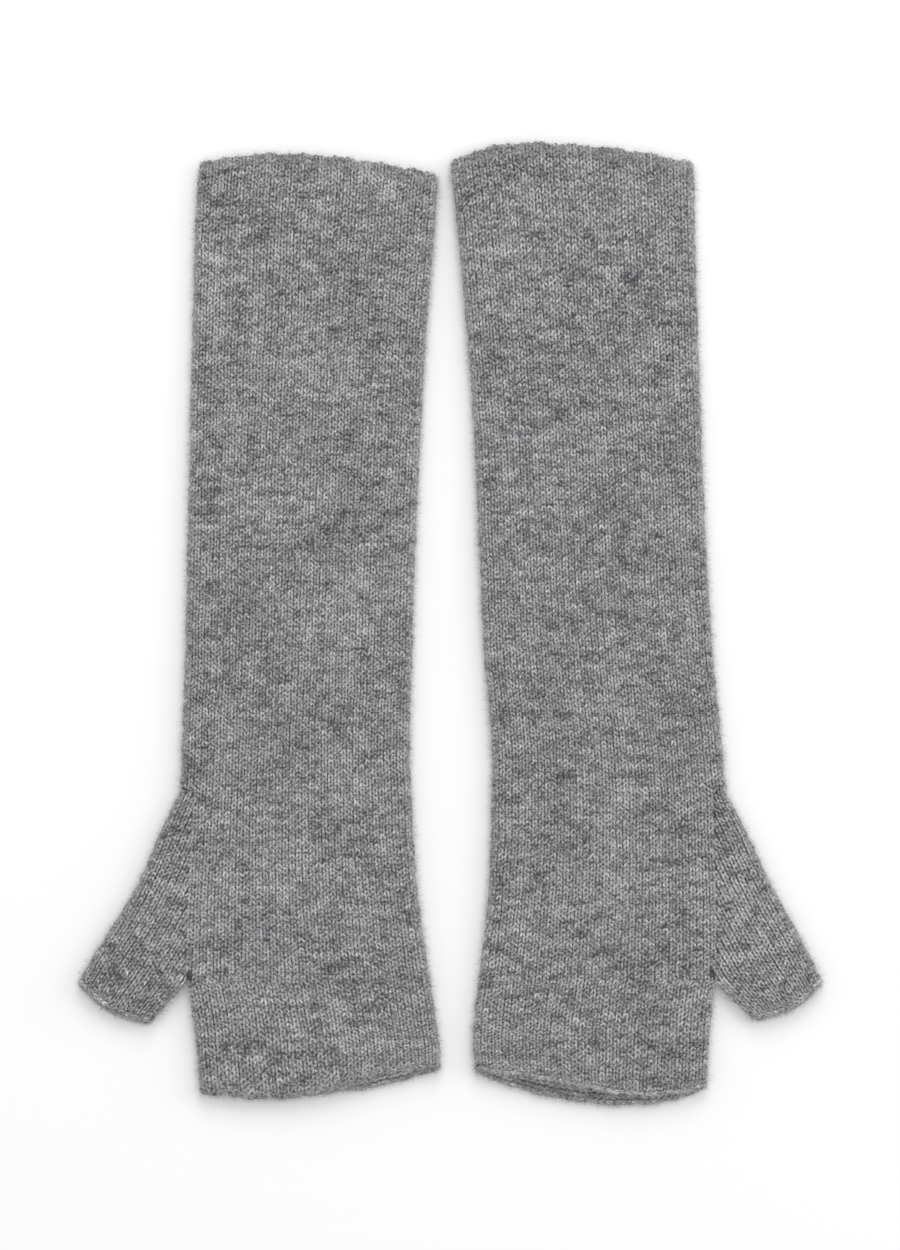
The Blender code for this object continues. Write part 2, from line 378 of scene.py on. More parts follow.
# One of the two strands of a link in the bound-off edge, which lies along the edge
LINK = (
    Station(-1.35, 0.02, 0.10, 0.24),
    Station(-0.60, 0.18, 0.46, 0.36),
    Station(0.10, 0.38, 0.55, 0.40),
    Station(0.75, 0.42, 0.42, 0.34),
    Station(1.25, 0.20, 0.12, 0.24),
)
# The arc of a stitch's head as the wrong side shows it
PURL = (
    Station(-1.00, 0.42, 0.02, 0.26),
    Station(-0.55, -0.12, 0.30, 0.36),
    Station(0.00, -0.34, 0.42, 0.38),
    Station(0.55, -0.12, 0.30, 0.36),
    Station(1.00, 0.42, 0.02, 0.26),
)
# A loose fibre a unit long: how far over and up its stations lie, half its width, and how far it has twisted
FIBRE = (
    (0.00, -0.10, 0.030, 0.0),
    (0.06, 0.28, 0.028, 0.9),
    (0.22, 0.62, 0.020, 1.8),
)
FIBRE_TIP = (0.50, 0.0, 0.88)


class Crease(NamedTuple):
    """A soft ridge or trough in the upper layer, from one end to the other."""

    name: str
    start: tuple
    end: tuple
    width: float
    rise: float  # below zero it's a trough


CREASES = {
    "left": (
        Crease("crotch_gather", (91.2, -121.6), (92.6, -124.4), 1.25, -1.2),
        Crease("crotch_pull", (90.0, -123.0), (74.0, -112.0), 4.0, -0.35),
        Crease("thumb_pull", (96.0, -124.0), (106.0, -112.0), 3.5, -0.30),
        Crease("wrist_long", (24.0, -38.0), (66.0, -47.0), 7.0, 0.30),
        Crease("wrist_short", (58.0, -30.0), (84.0, -36.0), 6.0, -0.25),
        Crease("palm", (30.0, -88.0), (62.0, -104.0), 9.0, -0.28),
        Crease("forearm", (20.0, 62.0), (52.0, 48.0), 9.0, 0.25),
        Crease("hand_roll", (14.0, -150.0), (40.0, -154.0), 5.0, 0.35),
    ),
    "right": (
        Crease("crotch_gather", (91.0, -120.6), (92.4, -123.6), 1.25, -1.3),
        Crease("crotch_pull", (90.0, -123.0), (72.0, -116.0), 4.0, -0.38),
        Crease("thumb_pull", (96.0, -123.5), (107.0, -110.0), 3.5, -0.30),
        Crease("wrist_long", (18.0, -52.0), (58.0, -44.0), 8.0, -0.28),
        Crease("wrist_short", (60.0, -62.0), (86.0, -58.0), 6.0, 0.25),
        Crease("palm", (34.0, -112.0), (70.0, -96.0), 9.0, 0.25),
        Crease("forearm", (30.0, 84.0), (66.0, 96.0), 10.0, -0.25),
        Crease("hand_roll", (30.0, -154.0), (66.0, -157.0), 5.0, 0.40),
    ),
}


def smooth(known, values, wanted):
    """Values at the wanted places on a smooth line through the known ones, which rise."""
    known = np.asarray(known, float)
    values = np.asarray(values, float)
    slopes = np.gradient(values, known)
    left = np.clip(np.searchsorted(known, wanted) - 1, 0, len(known) - 2)
    span = known[left + 1] - known[left]
    t = (wanted - known[left]) / span
    return (
        values[left] * (1 + 2 * t) * (1 - t) ** 2
        + values[left + 1] * t * t * (3 - 2 * t)
        + span * slopes[left] * t * (1 - t) ** 2
        - span * slopes[left + 1] * t * t * (1 - t)
    )


def fade(distance, reach):
    """1 at an edge and past it, easing to 0 at its reach."""
    t = np.clip(1 - distance / reach, 0.0, 1.0)
    return t * t * (3 - 2 * t)


def edge_at(points, across):
    """The height of a mouth's edge, and the lower layer's reach past it."""
    known = [p.across for p in points]
    height = smooth(known, [p.height for p in points], across)
    return height, smooth(known, [p.peek for p in points], across)


def width_at(warmer, height):
    """The places of the body's inner and outer fold at a height."""
    known = [-w.height for w in warmer.widths]
    inner = smooth(known, [w.inner for w in warmer.widths], -height)
    return inner, smooth(known, [w.outer for w in warmer.widths], -height)


def seam_at(warmer, height):
    """The slanted line of increases, along which the thumb leaves the body."""
    _, top, foot, _ = warmer.levels()
    start = warmer.gusset[0].outer - SEAM_INSET
    return start + (height - top) / (foot - top) * (SEAM_AT_CROTCH - start)


def seam_wale(warmer):
    """The number of wales from the inner fold to the line of increases."""
    inner, outer = width_at(warmer, warmer.levels()[1])
    return WALES - SEAM_INSET * WALES / (outer - inner)


def thumb_edge_at(warmer, height):
    """The place of the thumb's outer fold at a height."""
    ends = [(row.outer_height, row.outer) for row in warmer.gusset]
    ends.append((warmer.mouth.outer_height, warmer.mouth.outer))
    return np.interp(-height, [-h for h, _ in ends], [x for _, x in ends])


def cloth_height(across):
    """The top of the two layers, above the table."""
    return 2 * WALL + BETWEEN_LAYERS + CROWN * 4 * across * (1 - across)


FOLD = cloth_height(0) / 2


def unevenness(warmer, x, y):
    """How far the upper layer lies above or below its even form: its creases and a slight swell."""
    rise = SWELL * np.sin(x / 11.0 + 1.3 * np.sin(y / 37.0)) * np.sin(y / 17.0 + 0.9 * np.sin(x / 23.0))
    for crease in CREASES[warmer.name]:
        start = np.array(crease.start)
        run = np.array(crease.end) - start
        share = ((x - start[0]) * run[0] + (y - start[1]) * run[1]) / (run @ run)
        near = np.clip(share, 0.0, 1.0)
        gone = np.hypot(x - start[0] - near * run[0], y - start[1] - near * run[1])
        height = crease.rise * np.exp(-((gone / crease.width) ** 2))
        rise = rise + height * np.sin(np.pi * (0.15 + 0.7 * near))
    return rise


class Guide(NamedTuple):
    """A sheet of places in the knit, courses by wales: where each lies, and which way is out of the cloth."""

    wales: np.ndarray
    courses: np.ndarray
    places: np.ndarray
    out: np.ndarray
    inside: np.ndarray  # above 0 where the sheet carries stitches
    rim: np.ndarray  # 1 at the cloth's folds and edges, 0 over its faces
    ends: np.ndarray  # -1 at an open edge where the courses start, 1 where they end, 0 between


def near_edge(past):
    """1 at an edge of the cloth, easing to 0 about two courses in from it."""
    return np.clip(EDGE_FULL - past / EDGE_FADES, 0.0, 1.0)


def rim_of_fold(turn):
    """1 round a fold, as far as it shows from above, and 0 over the face and on the underside."""
    return np.clip(turn * FUZZ_GROWS, 0.0, 1.0) * np.clip((FUZZ_TURN - turn) * FUZZ_STOPS, 0.0, 1.0)


def half_wales(first, last):
    """Places half a wale apart."""
    return np.arange(first, last + 0.01, 0.5)


class Walk(NamedTuple):
    """A way over one layer of a tube and round its folds: what it is at each step."""

    level: np.ndarray  # how far over, short of the folds
    turn: np.ndarray  # the angle round a fold
    bulge: np.ndarray  # how far out sideways that is, below zero at the first fold
    lift: np.ndarray  # 1 on the upper layer, 0 on the lower one
    room: np.ndarray  # how far round the stitches may still go


def walk_over(run, flat_end):
    """The walk whose steps lie so far over from the first fold."""
    first = np.maximum(FOLD - run, 0) / FOLD
    second = np.maximum(run - flat_end, 0) / FOLD
    turn = np.minimum(first + second, math.pi)
    bulge = np.where(second > 0, 1.0, -1.0) * np.sin(turn)
    return Walk(np.clip(run, FOLD, flat_end), turn, bulge, (1 + np.cos(turn)) / 2, LAST_TURN - first - second)


def drawn_in(from_fold, radius):
    """How far a mouth's edge is drawn in near a fold, so that its corner is round."""
    short = np.clip(radius - from_fold, 0.0, radius)
    return radius - np.sqrt(radius * radius - short * short)


def body_bend(warmer, height, across, lift, from_fold):
    """The height of the body's points at a course, once it is bent to follow the mouths' edges."""
    cuff, _, _, hand = warmer.levels()
    cuff_height, _ = edge_at(warmer.cuff, across)
    hand_height, peek = edge_at(warmer.hand, across)
    bent = height + fade(cuff - height, CUFF_BEND) * (cuff_height - cuff)
    bent = bent + fade(height - hand, HAND_BEND) * (hand_height - hand - peek * (1 - lift))
    corner = drawn_in(from_fold, CORNER)
    wave = np.sin(RAGGED_FINE * across) + np.sin(RAGGED_WIDE * across + warmer.side)
    bent = bent + (RAGGED_CUFF * wave - corner) * fade(cuff - height, MOUTH_REACH)
    return bent + (RAGGED_HAND * wave + corner) * fade(height - hand, MOUTH_REACH)


def body_places(warmer, height, x, across, lift):
    """The body's points at a course, bent near the mouths, with the upper layer's rise and creases."""
    inner, outer = width_at(warmer, height)
    y = body_bend(warmer, height, across, lift, np.minimum(x - inner, outer - x))
    in_mouth = fade(height - warmer.levels()[-1], HAND_BEND) * np.sin(np.pi * across)
    z = lift * (cloth_height(across) + warmer.lift * in_mouth + unevenness(warmer, x, y))
    return np.stack([x, y, z], 1)


def body_course(warmer, height, zone, wales):
    """One course of the body's upper side and folds, as places, directions, inside and rim."""
    inner, outer = width_at(warmer, height)
    seam_stitch = seam_wale(warmer)
    seam = seam_at(warmer, height)
    pitch = {
        "arm": (outer - inner) / WALES,
        "slit": (seam - inner) / seam_stitch,
        "palm": (outer - inner) / seam_stitch,
    }[zone]
    far = thumb_edge_at(warmer, height) if zone == "slit" else outer
    walk = walk_over(wales * pitch, far - inner - FOLD)
    wide = seam - inner - FOLD if zone == "slit" else outer - inner - 2 * FOLD
    across = np.clip((walk.level - FOLD) / wide, 0.0, 1.0)
    places = body_places(warmer, height, inner + walk.level + FOLD * walk.bulge, across, walk.lift)
    out = np.stack([walk.bulge, np.zeros(len(wales)), np.cos(walk.turn)], 1)
    inside = walk.room * FOLD / pitch
    if zone == "slit":
        inside = np.minimum(inside, seam_stitch + BODY_LAP - wales)
    if zone == "palm" and warmer.levels()[2] - height < BELOW_CROTCH * COURSE:
        inside = np.minimum(inside, seam_stitch - wales)
    return places - RELIEF * out, out, inside, rim_of_fold(walk.turn)


def body_guide(warmer):
    """The body's upper side, and its folds down to the underside."""
    cuff, top, foot, hand = warmer.levels()
    rows = [("arm", h) for h in np.linspace(cuff + PAST_EDGE, top, GUIDE_ARM, endpoint=False)]
    rows += [("slit", h) for h in np.linspace(top, foot, GUIDE_SLIT)]
    rows += [("palm", h) for h in np.linspace(foot - FORK, hand - PAST_EDGE, GUIDE_PALM)]
    wales = half_wales(-3.0, WALES + 4.0)
    courses = np.array([(cuff - h) / COURSE for _, h in rows])
    parts = [body_course(warmer, h, zone, wales) for zone, h in rows]
    places, out, inside, rim = (np.array(p) for p in zip(*parts))
    ends = near_edge(COURSES - courses) - near_edge(courses)
    return Guide(wales, courses, places, out, inside, np.maximum(rim, abs(ends)[:, None]), ends)


def thumb_rows(warmer):
    """The thumb's sections as pairs of points across, each with whether it joins the body's slit."""
    gusset = warmer.gusset
    mouth = warmer.mouth
    _, top, foot, _ = warmer.levels()
    heights = np.linspace(top, foot, GUSSET_STEPS + 1)
    known = [-row.seam_height for row in gusset]
    outers = smooth(known, [row.outer for row in gusset], -heights)
    outer_heights = smooth(known, [row.outer_height for row in gusset], -heights)
    rows = []
    for height, outer, outer_height in zip(heights, outers, outer_heights):
        inner = Vector((seam_at(warmer, height) + SEAM_GAP / 2, height))
        rows.append((inner, Vector((outer, outer_height)), True))
    crotch = Vector((warmer.thumb_inner, foot - FORK))
    inner_end = Vector((mouth.inner, mouth.inner_height))
    outer_end = Vector((mouth.outer, mouth.outer_height))
    above = rows[-1][1]
    far = above + (outer_end - above).normalized() * FORK
    for share in np.linspace(0.0, 1.0, THUMB_STEPS + 1):
        rows.append((crotch.lerp(inner_end, share), far.lerp(outer_end, share), False))
    return rows


def thumb_frame(warmer, row):
    """The thumb's directions at a section, across and along, its length, and how close it is to the mouth."""
    inner, outer, _ = row
    across = (outer - inner).normalized()
    along = Vector((across.y, -across.x))
    to_mouth = Vector((warmer.mouth.outer, warmer.mouth.outer_height)) - outer
    return across, along, (outer - inner).length, float(fade(to_mouth.length, THUMB_BEND))


def on_line(start, way, distance):
    """The x and y of points at some distances from a start."""
    return np.array(start)[:, None] + np.outer(way, distance)


def thumb_places(warmer, row, straight, over, arch, lift):
    """The thumb's points, from where they lie on a straight tube, once its mouth is bowed and rounded."""
    _, along, length, share = thumb_frame(warmer, row)
    corner = drawn_in(np.minimum(over, length - over), THUMB_CORNER)
    reach = share * (warmer.mouth.bow * np.sin(np.pi * arch) + warmer.mouth.peek * (1 - lift))
    x, y = straight + np.outer(along, reach - max(0.0, 3 * share - 2) * corner)
    return np.stack([x, y, lift * (cloth_height(0) + unevenness(warmer, x, y))], 1)


def thumb_course(warmer, row, wales, pitch):
    """One course of the thumb's upper side and folds, its wales counted from its outer fold inwards."""
    across, _, length, _ = thumb_frame(warmer, row)
    _, outer, slit = row
    walk = walk_over(wales * pitch, math.inf if slit else length - FOLD)
    over = walk.level + FOLD * walk.bulge
    arch = np.clip(1 - (walk.level - FOLD) / (length - 2 * FOLD), 0.0, 1.0)
    places = thumb_places(warmer, row, on_line(outer, -across, over), over, arch, walk.lift)
    out = np.stack([-across.x * walk.bulge, -across.y * walk.bulge, np.cos(walk.turn)], 1)
    inside = walk.room * FOLD / pitch
    if slit:
        inside = np.minimum(inside, length / pitch + THUMB_LAP - wales)
    return places - RELIEF * out, out, inside, rim_of_fold(walk.turn)


def thumb_rows_past(warmer):
    """The thumb's sections, with one more before the root and one past the mouth."""
    rows = thumb_rows(warmer)
    root_inner, root_outer, _ = rows[0]
    back = (root_outer - rows[1][1]).normalized() * PAST_EDGE
    mouth_inner, mouth_outer, _ = rows[-1]
    on = thumb_frame(warmer, rows[-1])[1] * PAST_EDGE
    before = (root_inner + Vector((0, PAST_EDGE)), root_outer + back, True)
    return [before, *rows, (mouth_inner + on, mouth_outer + on, False)]


def thumb_courses(warmer):
    """The course numbers of the thumb's sections, along its outer fold, and each section's stitch width."""
    rows = thumb_rows_past(warmer)
    ends = [outer for _, outer, _ in rows]
    steps = [(b - a).length for a, b in zip(ends, ends[1:])]
    courses = (np.concatenate([[0.0], np.cumsum(steps)]) - steps[0]) / COURSE
    crotch = next((o - i).length for i, o, slit in rows if not slit)
    return courses, [(crotch if slit else (o - i).length) / THUMB_WALES for i, o, slit in rows]


def refine(values, steps):
    """A list with evenly spaced values put between each two."""
    values = np.asarray(values, float)
    shares = np.arange(steps) / steps
    between = [a + (b - a) * t for a, b in zip(values, values[1:]) for t in shares]
    return np.array([*between, values[-1]])


def thumb_guide(warmer):
    """The thumb's upper side, and its folds down to the underside."""
    wales = half_wales(-3.0, THUMB_WALES + 4.0)
    courses, pitches = thumb_courses(warmer)
    last = courses[-1] - PAST_EDGE / COURSE
    parts = [thumb_course(warmer, row, wales, p) for row, p in zip(thumb_rows_past(warmer), pitches)]
    places, out, inside, rim, courses = (refine(values, FINER) for values in (*zip(*parts), courses))
    ends = near_edge(last - courses)
    return Guide(wales, courses, places, out, inside, np.maximum(rim, ends[:, None]), ends)


def lip_guide(wales, courses, places, inside, last):
    """A guide on the inner side of a lower layer, which faces up."""
    places = np.array(places)
    places[..., 2] = GROUND
    out = np.zeros(places.shape)
    out[..., 2] = 1.0
    ends = near_edge(last - courses)
    return Guide(wales, courses, places, out, np.array(inside), ends[:, None] * np.ones(len(wales)), ends)


def hand_lip_guide(warmer):
    """The inner side of the body's lower layer, where it shows in the hand's mouth."""
    cuff, _, _, hand = warmer.levels()
    wales = half_wales(-1.0, WALES + 1.0)
    heights = np.linspace(hand + LIP, hand - PAST_EDGE, LIP_ROWS)
    places, inside = [], []
    for height in heights:
        inner, outer = width_at(warmer, height)
        run = wales * (outer - inner) / seam_wale(warmer)
        across = (run - FOLD) / (outer - inner - 2 * FOLD)
        places.append(body_places(warmer, height, inner + run, np.clip(across, 0.0, 1.0), 0.0))
        inside.append(np.minimum(across, 1 - across) + 0.01)
    return lip_guide(wales, (cuff - heights) / COURSE, places, inside, COURSES)


def thumb_lip_guide(warmer):
    """The inner side of the thumb's lower layer, where it shows in its mouth."""
    wales = half_wales(-1.0, THUMB_WALES + 1.0)
    courses, pitches = thumb_courses(warmer)
    places, inside = [], []
    for row, pitch in list(zip(thumb_rows_past(warmer), pitches))[-THUMB_LIP_ROWS:]:
        across, _, length, _ = thumb_frame(warmer, row)
        run = wales * pitch
        share = (run - FOLD) / (length - 2 * FOLD)
        straight = on_line(row[1], -across, run)
        places.append(thumb_places(warmer, row, straight, run, np.clip(share, 0.0, 1.0), 0.0))
        inside.append(np.minimum(share, 1 - share) + 0.01)
    finer = refine(courses[-THUMB_LIP_ROWS:], FINER)
    return lip_guide(wales, finer, refine(places, FINER), refine(inside, FINER), courses[-2])


def ring_columns(steps):
    """A flat tube's ring as shares of the way across, turns round a fold, and lifts, as in the solids."""
    bends = math.pi * np.arange(1, ROUND_FOLD) / ROUND_FOLD
    over = np.linspace(0.0, 1.0, steps + 1)
    flat = np.zeros(steps + 1)
    across = np.concatenate([over, np.ones(len(bends)), over[::-1], np.zeros(len(bends))])
    turn = np.concatenate([flat, np.sin(bends), flat, -np.sin(bends)])
    lift = np.concatenate([flat + 1, (1 + np.cos(bends)) / 2, flat, (1 - np.cos(bends)) / 2])
    return across, turn, lift


class Ring(NamedTuple):
    """One ring of the ground: places, how far stitches cover them, and where they are along the yarn."""

    places: np.ndarray
    cover: np.ndarray
    yarn: np.ndarray
    slit: bool  # whether the tube is open there, between the body and the thumb


def ground_ring(places, out, lift, yarn_over, yarn_down, slit):
    """A ring whose places are set in where stitches cover them."""
    cover = np.clip((lift - COVERED_FROM) / COVERED_OVER, 0.0, 1.0)
    yarn = np.stack([yarn_over, np.full_like(lift, yarn_down), (1 - lift) * BACK_YARN], 1)
    return Ring(places - RELIEF * cover[:, None] * out, cover, yarn, slit)


def body_rings(warmer):
    """The rings of the body's ground, from the forearm's edge to the knuckles' edge."""
    cuff, top, foot, hand = warmer.levels()
    rows = [(h, False) for h in np.linspace(cuff, top + FORK, ARM_STEPS + 1)]
    rows += [(h, True) for h in np.linspace(top, foot, 2 * GUSSET_STEPS + 1)]
    rows += [(h, False) for h in np.linspace(foot - FORK, hand, HAND_STEPS + 1)]
    across, turn, lift = ring_columns(BODY_ACROSS)
    rings = []
    for height, slit in rows:
        inner, outer = width_at(warmer, height)
        end = seam_at(warmer, height) - SEAM_GAP / 2 if slit else outer - FOLD
        x = inner + FOLD + across * (end - inner - FOLD) + turn * FOLD
        out = np.stack([turn, np.zeros_like(x), 2 * lift - 1], 1)
        wales = (x - inner) / (outer - inner) * (WALES if height >= top else seam_wale(warmer))
        places = body_places(warmer, height, x, across, lift)
        rings.append(ground_ring(places, out, lift, wales * WALE, cuff - height, slit))
    return rings


def thumb_rings(warmer):
    """The rings of the thumb's ground, from its root to its mouth."""
    courses, pitches = thumb_courses(warmer)
    columns, turn, lift = ring_columns(THUMB_ACROSS)
    rings = []
    for row, pitch, course in zip(thumb_rows(warmer), pitches[1:-1], courses[1:-1]):
        across, _, length, _ = thumb_frame(warmer, row)
        inner, outer, slit = row
        start = inner if slit else inner + across * FOLD
        straight = on_line(start, outer - across * FOLD - start, columns) + np.outer(across, turn * FOLD)
        over = length * columns + (1 - 2 * columns + turn) * FOLD
        places = thumb_places(warmer, row, straight, over, columns, lift)
        out = np.stack([across.x * turn, across.y * turn, 2 * lift - 1], 1)
        wales = length * (1 - columns) / pitch
        rings.append(ground_ring(places, out, lift, wales * WALE, course * COURSE, slit))
    return rings


def pair_shift():
    """How far the line midway between the warmers, at height zero, lies from the solids' origin."""
    corners = []
    for warmer in (LEFT, RIGHT):
        for ring in body_rings(warmer) + thumb_rings(warmer):
            low, high = ring.places.min(0), ring.places.max(0)
            corners += [(warmer.side * low[0], low[1]), (warmer.side * high[0], high[1])]
    corners = np.array(corners)
    middle = (corners.min(0) + corners.max(0)) / 2
    solids = np.array([solids_low.x + solids_high.x, solids_low.y + solids_high.y]) / 2
    return np.array([*(solids / MM - middle), 0.0])


SHIFT = pair_shift()


def to_world(places, side):
    """Places in the warmer's millimetres as points of the frame, in metres."""
    places = np.asarray(places, float).reshape(-1, 3)
    return (places * np.array([side, 1.0, 1.0]) + SHIFT) * MM


def store(mesh, name, values, kind="FLOAT"):
    """Keeps a value for each point of a mesh, under a name that nodes can read."""
    layer = mesh.attributes.new(name, kind, "POINT")
    field = "value" if kind == "FLOAT" else "vector"
    layer.data.foreach_set(field, np.asarray(values, np.float32).ravel())


def linked_object(name, mesh):
    piece = bpy.data.objects.new(name, mesh)
    bpy.context.scene.collection.objects.link(piece)
    return piece


def plain_copy(piece, name):
    """A new object with the plain mesh that the piece's modifiers make. The piece itself is removed."""
    graph = bpy.context.evaluated_depsgraph_get()
    shaped = piece.evaluated_get(graph)
    made = bpy.data.meshes.new_from_object(shaped, preserve_all_data_layers=True, depsgraph=graph)
    made.name = name
    bpy.data.objects.remove(piece)
    return linked_object(name, made)


def guide_object(name, guide, side):
    """The guide as a sheet whose map is its place in the knit. It only serves to make pieces."""
    rows, columns = guide.inside.shape
    corner = np.arange(rows * columns).reshape(rows, columns)
    quads = np.stack([corner[:-1, :-1], corner[1:, :-1], corner[1:, 1:], corner[:-1, 1:]], -1).reshape(-1, 4)
    points = to_world(guide.places, side)
    out = guide.out.reshape(-1, 3) * np.array([side, 1.0, 1.0])
    a, b, c, d = points[quads].swapaxes(0, 1)
    if (np.cross(c - a, d - b) * out[quads[:, 0]]).sum() < 0:
        quads = quads[:, ::-1]
    mesh = bpy.data.meshes.new(name)
    mesh.from_pydata(points.tolist(), [], quads.tolist())
    over, down = np.meshgrid(guide.wales, guide.courses)
    knit = np.stack([over, down], -1).reshape(-1, 2) / MAP_SPAN
    mesh.uv_layers.new(name="knit").data.foreach_set("uv", knit[quads.ravel()].astype(np.float32).ravel())
    along = np.gradient(points.reshape(rows, columns, 3), axis=0)
    along /= np.maximum(np.linalg.norm(along, axis=2, keepdims=True), 1e-9)
    stands = out + COMBED * (along * guide.ends[:, None, None]).reshape(-1, 3)
    store(mesh, "out", out, "FLOAT_VECTOR")
    store(mesh, "stands", stands, "FLOAT_VECTOR")
    store(mesh, "inside", guide.inside)
    store(mesh, "rim", guide.rim)
    return linked_object(name, mesh)


def strand(shape, stations, mirrored, moved, cell):
    """Adds half a tube of yarn to a shape, along the stations. Its map fills its half of a bake's cell."""
    flat = np.array([(s.right * mirrored[0] + moved, s.down * mirrored[1]) for s in stations])
    along = np.gradient(flat, axis=0)
    along /= np.linalg.norm(along, axis=1)[:, None]
    aside = np.stack([-along[:, 1], along[:, 0]], 1)
    points = []
    for place, off, s in zip(flat, aside, stations):
        points.append([
            shape.verts.new((*(place - off * s.half), STRAND_FOOT)),
            shape.verts.new((*place, s.up)),
            shape.verts.new((*(place + off * s.half), STRAND_FOOT)),
        ])
    layer = shape.loops.layers.uv.verify()
    for row, (first, second) in enumerate(zip(points, points[1:])):
        for i in range(2):
            face = shape.faces.new((first[i], second[i], second[i + 1], first[i + 1]))
            corners = ((row, i), (row + 1, i), (row + 1, i + 1), (row, i + 1))
            for loop, (down, over) in zip(face.loops, corners):
                loop[layer].uv = (cell + 0.04 + over * 0.19, 0.06 + down * 0.88 / (len(stations) - 1))


def template_object(name, shape):
    """Turns a shape into an object that is set out many times, with its map of a bake's cell."""
    mesh = bpy.data.meshes.new(name)
    shape.to_mesh(mesh)
    shape.free()
    mesh.uv_layers[0].name = "cell"
    return linked_object(name, mesh)


def stitch_template(name, stations, mirrored, moved=0.0):
    """A stitch in millimetres: one strand of yarn, and the same one mirrored and moved over."""
    shape = bmesh.new()
    strand(shape, stations, (1, 1), 0.0, cell=0.0)
    strand(shape, stations, mirrored, moved, cell=0.5)
    for face in shape.faces:
        face.normal_update()
        if face.normal.z < 0:
            face.normal_flip()
    return template_object(name, shape)


def fibre_template():
    """One loose fibre of wool, a unit long: a pointed ribbon that curves and twists."""
    shape = bmesh.new()
    layer = shape.loops.layers.uv.verify()
    pairs = []
    for over, up, half, turn in FIBRE:
        x, y = half * math.sin(turn), half * math.cos(turn)
        pairs.append([shape.verts.new((over + x, y, up)), shape.verts.new((over - x, -y, up))])
    tip = shape.verts.new(FIBRE_TIP)
    for first, second in zip(pairs, pairs[1:]):
        shape.faces.new((first[0], first[1], second[1], second[0]))
    shape.faces.new((*pairs[-1], tip))
    for face in shape.faces:
        for loop in face.loops:
            near = loop.vert.co
            loop[layer].uv = (0.5 + 8 * near.y, 0.15 + 0.7 * max(near.z, 0.0))
    return template_object("fibre", shape)


class Wire:
    """An output of a node. A sign between wires, numbers or tuples adds the maths node it stands for."""

    def __init__(self, socket):
        self.socket = socket
        self.tree = socket.id_data
        self.wide = socket.type in ("VECTOR", "RGBA")

    def maths(self, operation, *others):
        kind = "ShaderNodeVectorMath" if self.wide else "ShaderNodeMath"
        return add(self.tree, kind, dict(enumerate((self, *others))), operation=operation)[0]

    def __add__(self, other):
        return self.maths("ADD", other)

    def __sub__(self, other):
        return self.maths("SUBTRACT", other)

    def __mul__(self, other):
        if self.wide and not isinstance(other, tuple) and not getattr(other, "wide", False):
            return add(self.tree, "ShaderNodeVectorMath", {0: self, "Scale": other}, operation="SCALE")[0]
        return self.maths("MULTIPLY", other)

    def __truediv__(self, other):
        return self.maths("DIVIDE", other)

    def __pow__(self, other):
        return self.maths("POWER", other)


class Outputs:
    """The outputs of a node, by name or number."""

    def __init__(self, node):
        self.node = node

    def __getitem__(self, key):
        return Wire(self.node.outputs[key])


def fill(node, inputs):
    """Gives a node's inputs their values, and links those whose value is another node's output."""
    for name, value in inputs.items():
        if isinstance(value, Wire):
            value.tree.links.new(value.socket, node.inputs[name])
        else:
            node.inputs[name].default_value = value


def add(tree, kind, inputs=None, **settings):
    """Adds a node, and gives its outputs."""
    node = tree.nodes.new(kind)
    for name, value in settings.items():
        setattr(node, name, value)
    fill(node, inputs or {})
    return Outputs(node)


def new_group(name, kind, given, put_out):
    """An empty node group with named inputs and outputs, and what is given to it."""
    tree = bpy.data.node_groups.new(name, kind)
    for sockets, way in ((given, "INPUT"), (put_out, "OUTPUT")):
        for socket, value in sockets.items():
            tree.interface.new_socket(socket, in_out=way, socket_type=f"NodeSocket{value}")
    return tree, add(tree, "NodeGroupInput")


def combined(tree, **parts):
    """A vector from its X, Y and Z."""
    return add(tree, "ShaderNodeCombineXYZ", parts)[0]


def parts_of(vector):
    return add(vector.tree, "ShaderNodeSeparateXYZ", {0: vector})


def random_vector(low, high, seed):
    inputs = {0: low, 1: high, "Seed": seed}
    return add(seed.tree, "FunctionNodeRandomValue", inputs, data_type="FLOAT_VECTOR")[0]


def position(tree):
    return add(tree, "GeometryNodeInputPosition")[0]


def attribute(tree, name, kind="FLOAT"):
    return add(tree, "GeometryNodeInputNamedAttribute", {"Name": name}, data_type=kind)[0]


def keep(points, name, value):
    """Stores a value for each point, under a name that the finish reads."""
    kind = "FLOAT_VECTOR" if value.wide else "FLOAT"
    inputs = {"Geometry": points, "Name": name, "Value": value}
    return add(points.tree, "GeometryNodeStoreNamedAttribute", inputs, data_type=kind)[0]


def on_guide(guide, value, where):
    """What the guide has at a place in the knit."""
    knit = attribute(guide.tree, "knit", "FLOAT_VECTOR")
    kind = "FLOAT_VECTOR" if value.wide else "FLOAT"
    inputs = {"Mesh": guide, "Value": value, "UV Map": knit, "Sample UV": where * (1 / MAP_SPAN)}
    return add(guide.tree, "GeometryNodeSampleUVSurface", inputs, data_type=kind)["Value"]


def set_out(points, item, turn, size):
    """A copy of an object at each point, as one mesh."""
    item = add(points.tree, "GeometryNodeObjectInfo", {"Object": item})["Geometry"]
    inputs = {"Points": points, "Instance": item, "Rotation": turn, "Scale": size}
    copies = add(points.tree, "GeometryNodeInstanceOnPoints", inputs)[0]
    return add(points.tree, "GeometryNodeRealizeInstances", {"Geometry": copies})[0]


